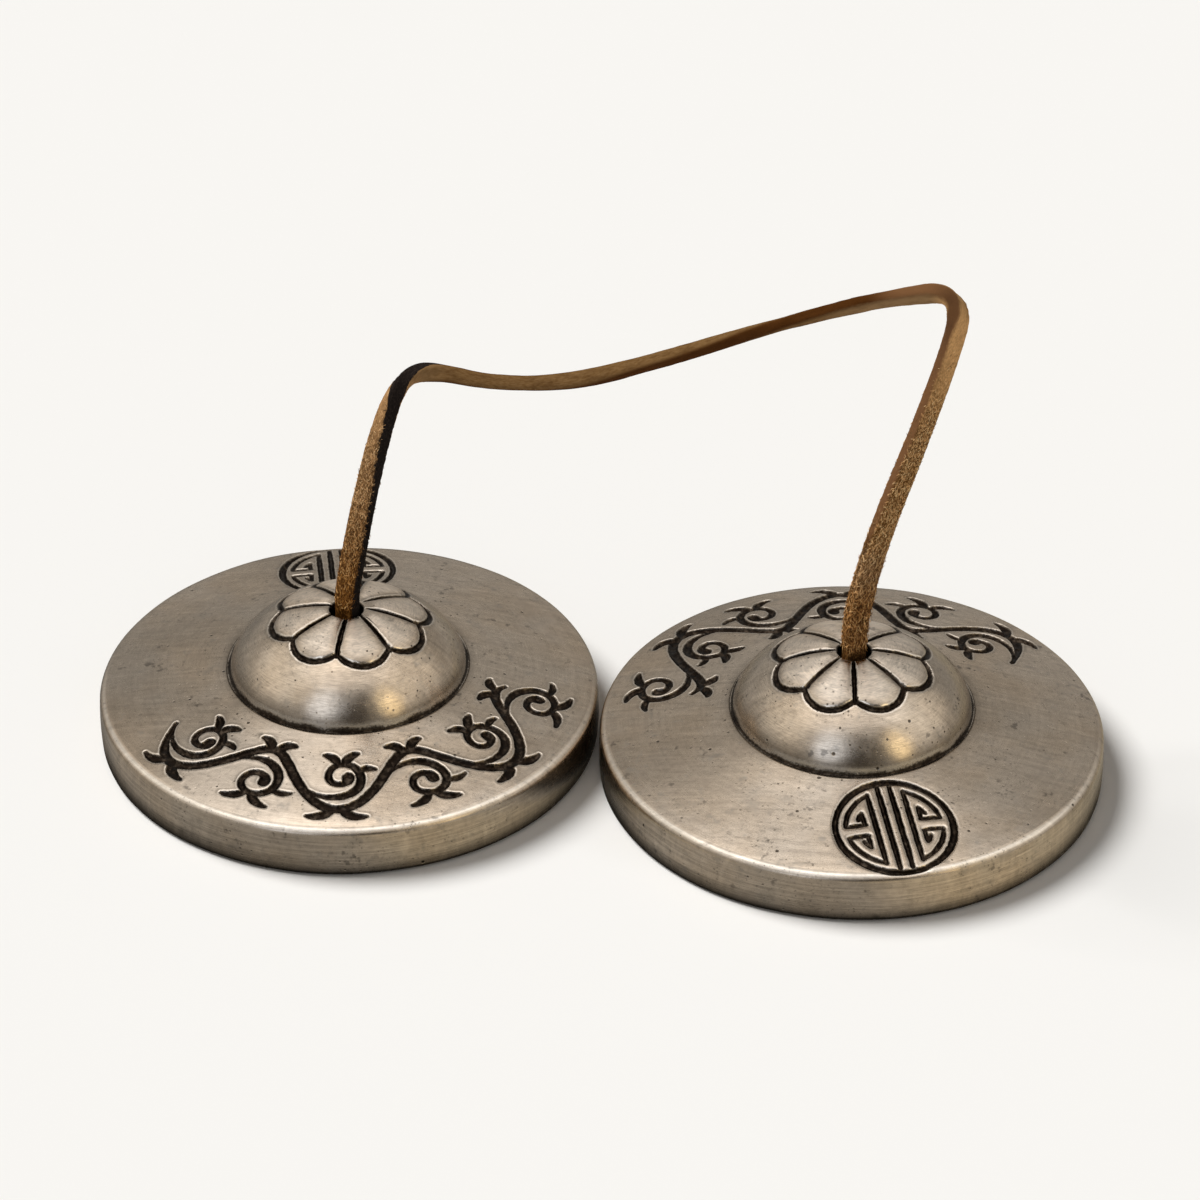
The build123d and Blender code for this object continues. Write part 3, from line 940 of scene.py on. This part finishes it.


# the hide: nap by its fibres, rubbed hide by its grain, painted light and painted shade between the tufts,
# then the brown and the black sides with torn edges
def makeHide(h):
    material, n, shader = newMaterial("cut hide")
    laid, paintedLight = n.field("laid", "Vector"), n.field("paintedLight")
    black, brown, nap = n.axes(n.field("dye", "Vector"))
    fibre, tuft, grain = (n.noise(n.stretched(laid, size), 1.0, *form) for size, *form in h["noises"])
    # nap tone raised a little on the right leg by the painted light
    short = n.plus(n.spread(fibre, 0.2, 0.8, 0.14, 0.33), n.spread(paintedLight, 1.0, 2.0, 0.0, 0.09))
    tone = n.put("Mix", {0: n.field("shag"), 2: short, 3: n.spread(fibre, 0.42, 0.90)}).outputs[0]
    wornAndLit = n.tint(n.spread(grain, 0.3, 0.7), h["spanTan"], h["spanPale"])
    # worn hide painted lighter with the painted light
    wornAndLit = n.tint(n.spread(paintedLight, 0.3, 1.8, 0.0, 0.6), wornAndLit, h["spanLitPale"])
    colour = n.tint(n.spread(nap, 0.2, 0.8), wornAndLit, napColour(n, tone, paintedLight, h))
    # painted shade between the tufts, less where the painted light is high
    shadows = n.times(n.spread(tuft, 0.42, 0.75, 0.0, 0.45), n.spread(paintedLight, 0.0, 1.0, 1.0, 0.6))
    colour = n.tint(shadows, colour, h["tuftShadeTan"])
    frayed = n.calc("MULTIPLY_ADD", grain, 0.7, -0.35)
    torn = n.calc("MULTIPLY_ADD", tuft, 1.1, -0.55)
    smooth = n.tint(n.spread(tuft, 0.2, 0.8, 0.25, 0.75), h["brown"], h["paleBrown"])
    # the brown side painted lighter on the right leg
    smooth = n.tint(n.spread(paintedLight, 1.5, 2.0, 0.0, 0.7), smooth, h["rightLegLitBrown"])
    soft = n.spread(nap, 0.15, 0.9, 0.60, 0.30)     # how soft the brown's edge is, most on the top
    browned = n.calc("DIVIDE", n.plus(brown, frayed, soft), n.plus(soft, 0.40))
    colour = n.tint(n.spread(browned, 0.0, 1.0), colour, smooth)
    sooty = n.tint(n.spread(fibre, 0.45, 0.80), h["black"], h["fadedBlack"])
    colour = n.tint(n.spread(n.plus(black, frayed, torn), -0.05, 0.10), colour, sooty)
    height = n.plus(n.times(fibre, nap), n.times(grain, 0.35))
    n.fill(shader, {
        "Base Color": colour, "Roughness": h["roughness"], "Specular IOR Level": h["specular"],
        "Normal": n.bump(height, 0.7, 0.00015)})
    return material


# the fibres: nap by a tone of their own, painted lighter with the skin, and browned or blackened with the
# skin they stand on
def makeFibres(h):
    material, n, shader = newMaterial("hide fibres")
    black, brown = n.axes(n.field("dye", "Vector"))[:2]
    tone = n.field("tone")
    colour = napColour(n, tone, n.field("paintedLight"), h)
    colour = n.tint(n.spread(brown, -0.05, 0.13, 0.0, 0.7), colour, h["paleBrown"])
    sooty = n.tint(tone, h["black"], h["fadedBlack"])
    colour = n.tint(n.spread(black, -0.03, 0.10), colour, sooty)
    n.fill(shader, {
        "Base Color": colour, "Roughness": n.spread(tone, 0.0, 1.0, 0.9, 0.7),
        "Specular IOR Level": h["specular"]})
    return material


cutHide = makeHide(hide)
hideFibres = makeFibres(hide)

quarter = len(laceLine) // 4
tail = len(laceLine) * 3 // 4
seamLeft = float(np.interp(lace["seam"], laceLine[:quarter, 2], laceRun[:quarter]))
seamRight = float(np.interp(-lace["seam"], -laceLine[tail:, 2], laceRun[tail:]))


# rings of the lace between two lengths
def laceStretch(start, end):
    s = np.linspace(start, end, int(round((end - start) / lace["step"])) + 1)
    centre, faceNormal, sideNormal = laceFrame(s)
    rings, laid = laceSkin(centre, faceNormal, sideNormal, *laceSize(s), s)
    return rings, laid, laceDye(s), centre


# the free stretch between the seams, put on the strap in place of the part
def makeLace():
    rings, laid, dye, centre = laceStretch(seamLeft, seamRight)
    piece = tubePiece("lace_stretch", rings, laid, dye, cutHide)
    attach(piece, "strap")
    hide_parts("leather_strap")


makeLace()

# nap: fibres torn up from the hide
nap = {
    "perArea": 25.0,        # on each square millimetre of a napped face
    "girth": 8.8,           # round the lace
    "radius": 0.041,
    "sunk": 0.02,
    "yaw": 0.6,             # spread of their directions about the lace, in radians
    "lean": (6.0, 22.0),    # most, and most added by the right hole, in degrees
    "length": (0.28, 0.78),
    "shag": 0.8,            # how much longer they are by the right hole
    "curl": 0.25,
    "tones": (0.75, 0.95),  # of the beta distribution their tones are drawn from
    "shares": (0.0, 0.55, 1.0),
    "thinning": (0.9, 1.0, 0.35),
}


# three-sided spikes: the spine runs over the skin, its length and its place on the outline changing evenly
# with the share along it, and its height by a lean
def makeNap(name, start, end, seed):
    rng = np.random.default_rng(seed)
    count = int((end - start) * nap["girth"] * nap["perArea"])
    s, at = rng.uniform(start, end, count), rng.uniform(0.0, lace["sides"], count)
    corner = np.arange(lace["sides"] + 1)
    side, face = (np.interp(at, corner, np.append(part, part[0])) for part in (sectionSide, sectionFace))
    browned = 0.05 + 0.7 * ease(*lace["brownEnds"][2], s)
    likely = shagAt(s) * np.where(np.abs(face) > np.abs(side), 1.0, np.where(side > 0.0, 0.8, browned))
    kept = rng.random(count) < likely
    s, side, face = s[kept], side[kept], face[kept]
    count = len(s)
    onFace = (np.abs(face) > np.abs(side))[:, None]
    across = np.where(onFace[:, 0], side, face)
    sign = np.sign(np.where(onFace[:, 0], face, side))[:, None]
    shag = ease(24.0, 2.0, laceLength - s)
    length = rng.uniform(*nap["length"], count) * (1.0 + nap["shag"] * shag * rng.random(count))
    yaw = rng.normal(0.0, nap["yaw"], count) + math.pi * (rng.random(count) < 0.4)
    lean = rng.uniform(0.0, nap["lean"][0], count) + nap["lean"][1] * shag * rng.random(count) ** 3
    share = np.array(nap["shares"])
    places = s[:, None] + (length * np.cos(yaw))[:, None] * share
    wide, thick = (size.reshape(count, -1) for size in laceSize(places.ravel()))
    span = np.where(onFace, wide, thick) / 2.0
    curl = rng.normal(0.0, nap["curl"], count)[:, None] * share ** 2
    across = across[:, None] + length[:, None] * (np.sin(yaw)[:, None] * share + curl) / span
    dye = dyeAt(s, side, face)
    onSkin = np.clip(across, -0.96, 0.96)
    across = np.clip(across, -1.06, 1.06)
    rise = sign * (1.0 - np.abs(onSkin) ** lace["squareness"]) ** (1.0 / lace["squareness"])
    side, face = np.where(onFace, across, rise), np.where(onFace, rise, across)
    centre, faceNormal, sideNormal = (part.reshape(count, -1, 3) for part in laceFrame(places.ravel()))
    sideway, faceway = (part / size * np.abs(part) ** 2.6 for part, size in ((side, wide), (face, thick)))
    out = unit(sideway[..., None] * sideNormal + faceway[..., None] * faceNormal)
    skin = centre + (side * wide / 2.0)[..., None] * sideNormal
    skin += (face * thick / 2.0)[..., None] * faceNormal
    height = (length * np.sin(np.radians(lean)))[:, None] * share - nap["sunk"]
    spine = skin + height[..., None] * out
    way = unit(spine[:, -1] - spine[:, 0])
    u = unit(np.cross(way, out[:, 0]))
    v = np.cross(way, u)
    radius = nap["radius"] * rng.uniform(0.7, 1.3, (count, 1)) * np.array(nap["thinning"])
    turn = np.arange(3) * tau / 3.0
    spoke = np.cos(turn)[:, None] * u[:, None] + np.sin(turn)[:, None] * v[:, None]
    points = (spine[:, :, None] + radius[:, :, None, None] * spoke[:, None]).reshape(-1, 3)
    first = 9 * np.arange(count)[:, None, None]
    k, after = np.arange(3), np.array([1, 2, 0])
    belt = np.stack([k, after, after + 3, k + 3], axis=1)
    quads = (first + np.concatenate([belt, belt + 3])).reshape(-1, 4)
    tris = (first + np.array([[0, 2, 1], [6, 7, 8]])).reshape(-1, 3)
    if enclosedVolume(points, quads, tris) < 0.0:
        quads, tris = quads[:, ::-1], tris[:, ::-1]
    piece = meshPiece(name, points, quads, tris, hideFibres, {
        "tone": np.repeat(rng.beta(*nap["tones"], count), 9), "paintedLight": np.repeat(paintedLightAt(s), 9),
        "dye": np.repeat(dye, 9, axis=0)})
    print(name, count, "fibres")
    return piece


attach(makeNap("left_leg_nap", seamLeft, 36.0, 31), "strap")
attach(makeNap("right_leg_nap", 104.0, seamRight, 32), "strap")
print("lace done")

# knots: a trefoil wound on a small ring inside each cup, with the lace's end left sticking out
knot = {
    "ring": 1.95,
    "coil": (1.0, 1.25),    # across and up
    "height": 11.3,
    "tailWay": (0.75, -0.5, -0.30),
    "tailSteps": (4.6, 3.4, 2.2, 1.0),
    "rise": [(1.5, -0.9, 13.3), (0.7, -0.4, 14.3), (0.1, 0.0, 15.0)],
    "wide": 2.0,
    "thick": 1.35,
    "stub": -4.6,           # length below the hole's mouth where the straight stub begins
}


# a lace knotted on a torus: angle 2t round the ring and 3t round its coil, cut open and led up to the hole
def makeKnot(name, side, centreX, seam):
    k = knot
    t = np.linspace(0.42, tau - 0.62, 34)
    across, up = np.cos(3.0 * t), np.sin(3.0 * t)
    reach = k["ring"] + k["coil"][0] * across
    around = onCircle(2.0 * t)
    turns = np.column_stack([reach[:, None] * around, k["coil"][1] * up + k["height"]])
    facing = np.column_stack([across[:, None] * around, up])
    tail = turns[0] + unit(np.array(k["tailWay"])) * np.array(k["tailSteps"])[:, None]
    controls = np.concatenate([tail, turns, k["rise"]])
    controls[:, :2] *= side
    facing[:, :2] *= side
    neckS = np.array([k["stub"]]) if side > 0 else np.array([laceLength - k["stub"]])
    neckNormal = laceFrame(neckS)[1]
    hints = np.concatenate([
        np.repeat(facing[:1], len(tail), axis=0), facing, np.repeat(neckNormal, len(k["rise"]), axis=0)])
    line = evenly(splineLine(controls + (centreX, 0.0, 0.0)), 150)
    tangent = unit(np.gradient(line, axis=0))
    hint = between(np.linspace(0.0, len(hints) - 1.0, len(line)), np.arange(len(hints)), hints)
    faceNormal = unit(hint - np.sum(hint * tangent, axis=1, keepdims=True) * tangent)
    sideNormal = side * np.cross(tangent, faceNormal)       # the right lace runs down into its hole
    s = np.linspace(-60.0, -8.0, len(line))
    closing = ease(0.75, 1.0, np.linspace(0.0, 1.0, len(line)))
    sizes = zip((k["wide"], k["thick"]), laceSize(neckS))
    wide, thick = (size + (neck - size) * closing for size, neck in sizes)
    tied = *laceSkin(line, faceNormal, sideNormal, wide, thick, s), laceDye(s)
    if side > 0:
        neck = laceStretch(k["stub"], seam)
    else:
        neck = [part[::-1] for part in laceStretch(seam, laceLength - k["stub"])]
    return tubePiece(name, *(np.concatenate(parts) for parts in zip(tied, neck)), cutHide)


for name, side, seam in (("left_knot", 1.0, seamLeft), ("right_knot", -1.0, seamRight)):
    low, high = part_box(name.replace("knot", "cymbal"))
    centreX = (low[0] + high[0]) / 2.0 / mm
    piece = makeKnot(name + "_tied", side, centreX, seam)
    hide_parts(name)
    stub = (-0.6, seam) if side > 0.0 else (seam, laceLength + 0.6)
    for part in (piece, makeNap(name + "_nap", *stub, 33 if side > 0.0 else 34)):
        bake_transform(part)
print("knots done")

# floor, soft key from the left and a studio that the metal sees
studio = {
    "floor": (0.868, 0.852, 0.821),
    # the floor glows for reflections only: a painted reflection, warmer beside each casting
    "floorSeen": (0.395, 0.382, 0.357),     # as reflected in the metal
    "floorSeenWarm": (0.42, 0.38, 0.30),
    "gap": (0.0, -0.006, 0.0),              # the shaded floor between the two castings, in metres
    "apart": 0.03285,                       # axes of the castings from the middle, in metres
    "backdrop": (0.939, 0.922, 0.888),
    "keyTurn": -77.0,                       # degrees from straight back, towards the right
    "keyLift": 55.0,
    "keySpread": 32.0,
    "keyStrength": 3.333,
    "ambient": 0.215,
    "frontLit": 0.9,                        # how much brighter the room is in front than all round
    "room": (0.41, 0.397, 0.378),
    "ceiling": (0.86, 0.86, 0.88),
    "ceilingLift": (49.5, 66.5),            # degrees where it begins and is whole
    "floorReach": 3.0,                      # metres
    "floorDrop": 0.00005,
    # how bright the floor looks in the metal, with painted shade: from and to in metres, then its share at
    # each, by distance from an axis, distance from the gap, place across, depth, and twice the place across
    # from an axis
    "floorPaintedShades": [
        (0.0324, 0.0362, 0.03, 1.0), (0.006, 0.023, 0.55, 1.0), (-0.05, 0.06, 0.92, 1.24),
        (-0.018, 0.002, 1.04, 0.64), (0.002, 0.018, 0.90, 1.15), (-0.030, -0.012, 1.18, 1.0),
    ],
    # turn from straight back, lift, half width and half height in degrees, colour
    "panels": [
        (-24.0, 58.0, 25.0, 15.0, (0.56, 0.555, 0.555)),
        (-98.0, 42.0, 46.0, 40.0, (0.62, 0.60, 0.56)),
        (86.0, 38.0, 42.0, 38.0, (0.55, 0.53, 0.49)),
        (-163.5, 34.0, 18.5, 34.0, (1.0, 1.15, 1.40)),
        (125.5, 28.0, 13.0, 31.0, (1.48, 1.19, 0.66)),
        (-40.0, 80.0, 24.0, 22.0, (0.70, 0.69, 0.68)),
        (36.0, 24.0, 30.0, 24.0, (-0.06, -0.06, -0.06)),
        (158.0, 60.0, 36.0, 17.0, (-0.34, -0.33, -0.32)),
        (164.0, 26.0, 28.0, 42.0, (-0.33, -0.325, -0.315)),
    ],
}


# unit vector at a turn from straight back towards the right and a lift, by their cos and sin
def direction(turn, lift):
    turn, lift = math.radians(turn), math.radians(lift)
    return Vector((math.sin(turn) * math.cos(lift), math.cos(turn) * math.cos(lift), math.sin(lift)))


# a flat floor, plain to the eye, that glows in the metal's reflections with painted shade round and between
# the castings
def makeFloor(s):
    far = s["floorReach"]
    corners = [(-far, -far, 0.0), (far, -far, 0.0), (far, far, 0.0), (-far, far, 0.0)]
    mesh = bpy.data.meshes.new("floor")
    mesh.from_pydata(corners, [], [(0, 1, 2, 3)])
    floorObject = bpy.data.objects.new("floor", mesh)
    floorObject.location.z = -s["floorDrop"]
    scene.collection.objects.link(floorObject)
    material, n, shader = newMaterial("pale floor")
    n.fill(shader, {"Base Color": (*s["floor"], 1.0), "Roughness": 1.0, "Specular IOR Level": 0.0})
    place = n.place()
    across, deep = n.axes(place)[:2]
    axes = [(side * s["apart"], 0.0, 0.0) for side in (-1.0, 1.0)]
    *fromAxes, fromGap = (n.vector("DISTANCE", {0: place, 1: spot}, "Value") for spot in (*axes, s["gap"]))
    local = n.calc("SUBTRACT", across, n.times(n.calc("SIGN", across), s["apart"]))
    measures = (n.calc("MINIMUM", *fromAxes), fromGap, across, deep, local, local)
    lit = n.times(*(n.spread(value, *row) for value, row in zip(measures, s["floorPaintedShades"])))
    warm = n.tint(n.spread(local, 0.004, 0.020), s["floorSeen"], s["floorSeenWarm"])
    glow = n.put("Emission", {"Color": warm, "Strength": lit}).outputs[0]
    glossy = n.put("LightPath", {}).outputs["Is Glossy Ray"]
    mixed = n.put("MixShader", {0: glossy, 1: shader.outputs[0], 2: glow}).outputs[0]
    n.fill(n.tree.nodes["Material Output"], {"Surface": mixed})
    mesh.materials.append(material)


# a wide sun for the key light, hidden from reflections
def makeKey(s):
    key = bpy.data.lights.new("key", "SUN")
    key.energy = s["keyStrength"]
    key.angle = math.radians(s["keySpread"])
    keyObject = bpy.data.objects.new("key", key)
    keyObject.rotation_euler = direction(s["keyTurn"], s["keyLift"]).to_track_quat("Z", "Y").to_euler()
    keyObject.visible_glossy = False
    scene.collection.objects.link(keyObject)


# the room: a grey that grows towards the front lights the part, and the metal sees a ceiling and soft oval
# panels, each by its distance from the panel's middle over its half width and half height
def makeRoom(s):
    scene.world = bpy.data.worlds.new("studio")
    n = Nodes(scene.world)
    way = n.put("TexCoord", {}).outputs["Generated"]
    back, height = n.axes(way)[1:]
    overhead = n.spread(height, *(math.sin(math.radians(lift)) for lift in s["ceilingLift"]))
    seen = n.vector("SCALE", {0: s["ceiling"], "Scale": overhead})
    seen = n.vector("ADD", {0: seen, 1: s["room"]})
    for turn, lift, halfWidth, halfHeight, colour in s["panels"]:
        right = direction(turn + 90.0, 0.0) / math.sin(math.radians(halfWidth))
        up = direction(turn, lift + 90.0) / math.sin(math.radians(halfHeight))
        ways = (right, up, direction(turn, lift))
        across, rise, ahead = (n.vector("DOT_PRODUCT", {0: way, 1: toward}, "Value") for toward in ways)
        away = n.vector("LENGTH", {0: n.put("CombineXYZ", {0: across, 1: rise}).outputs[0]}, "Value")
        share = n.times(n.spread(away, 1.0, 0.35), n.spread(ahead, 0.0, 0.25))
        seen = n.vector("ADD", {0: seen, 1: n.vector("SCALE", {0: colour, "Scale": share})})
    grey = n.calc("MULTIPLY_ADD", back, -s["frontLit"] * s["ambient"], s["ambient"])
    path = n.put("LightPath", {}).outputs
    plain = n.tint(path["Is Camera Ray"], grey, s["backdrop"])
    n.fill(n.tree.nodes["Background"], {"Color": n.tint(path["Is Glossy Ray"], plain, seen)})


makeFloor(studio)
makeKey(studio)
makeRoom(studio)
scene.view_settings.view_transform = "Standard"
print("studio done")
